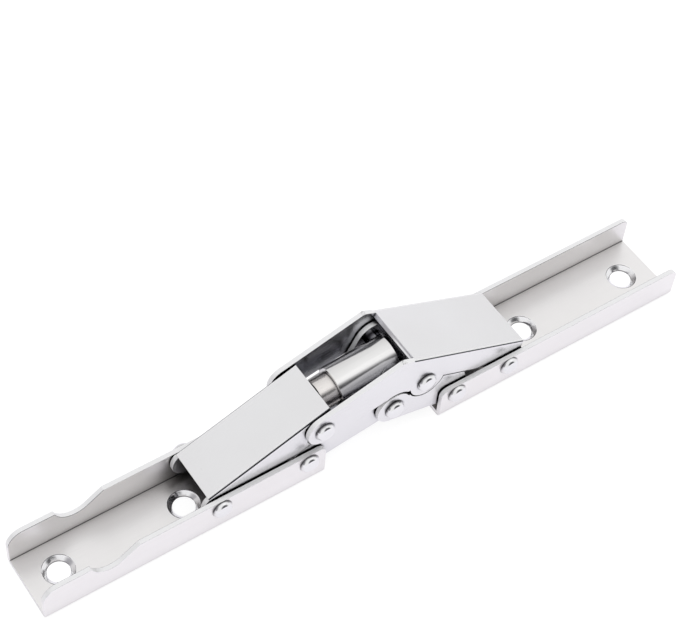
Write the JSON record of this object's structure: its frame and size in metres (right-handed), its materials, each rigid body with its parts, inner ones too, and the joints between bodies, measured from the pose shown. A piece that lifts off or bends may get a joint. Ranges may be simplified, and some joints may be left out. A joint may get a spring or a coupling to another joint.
{
  "type": "concealed folding hinge",
  "caption": "Folding hinge of two pressed metal channels in one line, joined by nested scissor arms with a telescoping spring tube; the channels fold to a right angle.",
  "frame": {"origin": "middle of the open hinge's length and width, on the plane of the two channel webs' outer faces", "axes": "+X along the open hinge from the narrow, notched channel to the wide channel; +Z from the webs' outer faces towards the arms; all pivots lie along Y"},
  "size_m": [0.1766, 0.0234, 0.0276],
  "materials": {
    "channel_plate": "bright nickel plate, smooth",
    "arm_plate": "bright nickel plate, smooth",
    "rivet_steel": "polished",
    "tube_steel": "polished",
    "plunger_steel": "drawn, satin",
    "plug_steel": "turned, satin",
    "spring_wire": "drawn spring wire",
    "sleeve_steel": "turned, satin"
  },
  "bodies": {
    "narrow_side": {"narrow_channel": "channel_plate", "narrow_fold_rivet": "rivet_steel", "narrow_inner_rivet": "rivet_steel", "fold_sleeve": "sleeve_steel"},
    "cross_arm_unit": {"cross_arm": "arm_plate", "link_rivet": "rivet_steel", "scissor_rivet": "rivet_steel", "spring_anchor_pin": "rivet_steel"},
    "short_arm_unit": {"short_arm": "arm_plate"},
    "long_arm_unit": {"long_arm": "arm_plate", "arm_end_rivet": "rivet_steel"},
    "link_plates": {"link_plate_near": "arm_plate", "link_plate_far": "arm_plate"},
    "wide_side": {"wide_channel": "channel_plate", "wide_fold_rivet": "rivet_steel", "wide_inner_rivet": "rivet_steel", "link_sleeve": "sleeve_steel"},
    "spring_tube_unit": {"spring_tube": "tube_steel", "tube_end_plug": "plug_steel", "spring_guide_rod": "plug_steel", "coil_spring": "spring_wire"},
    "plunger_unit": {"spring_plunger": "plunger_steel", "plunger_eye": "plug_steel"}
  },
  "joints": [
    {"name": "cross_arm_fold", "type": "hinge", "parent": "narrow_side", "child": "cross_arm_unit", "pos_m": [-0.02045, 0, 0.0073], "axis": [0, -1, 0], "range_deg": [0, 127.35]},
    {"name": "short_arm_fold", "type": "hinge", "parent": "narrow_side", "child": "short_arm_unit", "pos_m": [-0.04365, 0, 0.0074], "axis": [0, -1, 0], "range_deg": [0, 146.4]},
    {"name": "long_arm_scissor", "type": "hinge", "parent": "cross_arm_unit", "child": "long_arm_unit", "pos_m": [0.01135, 0, 0.0159], "axis": [0, -1, 0], "range_deg": [-96.27, 0]},
    {"name": "link_plate_pivot", "type": "hinge", "parent": "cross_arm_unit", "child": "link_plates", "pos_m": [0.00275, 0, 0.0116], "axis": [0, -1, 0], "range_deg": [-132.89, 0]},
    {"name": "wide_side_fold", "type": "hinge", "parent": "link_plates", "child": "wide_side", "pos_m": [0.02025, 0, 0.0068], "axis": [0, -1, 0], "range_deg": [0, 95.54]},
    {"name": "spring_tube_pivot", "type": "hinge", "parent": "cross_arm_unit", "child": "spring_tube_unit", "pos_m": [0.00625, 0, 0.0194], "axis": [0, -1, 0], "range_deg": [-116.63, 0]},
    {"name": "plunger_slide", "type": "slide", "parent": "spring_tube_unit", "child": "plunger_unit", "axis": [-0.9959, 0, -0.0905], "range_m": [0, 0.003], "deforming": ["coil_spring"]}
  ],
  "couplings": [
    {"joint": "short_arm_fold", "follows": "cross_arm_fold", "ratio": 1.1494},
    {"joint": "long_arm_scissor", "follows": "cross_arm_fold", "ratio": -0.75578},
    {"joint": "link_plate_pivot", "follows": "cross_arm_fold", "ratio": -1.0433},
    {"joint": "wide_side_fold", "follows": "cross_arm_fold", "ratio": 0.75003},
    {"joint": "spring_tube_pivot", "follows": "cross_arm_fold", "ratio": -0.91565},
    {"joint": "plunger_slide", "follows": "cross_arm_fold", "m_per_rad": 0.0013464}
  ]
}
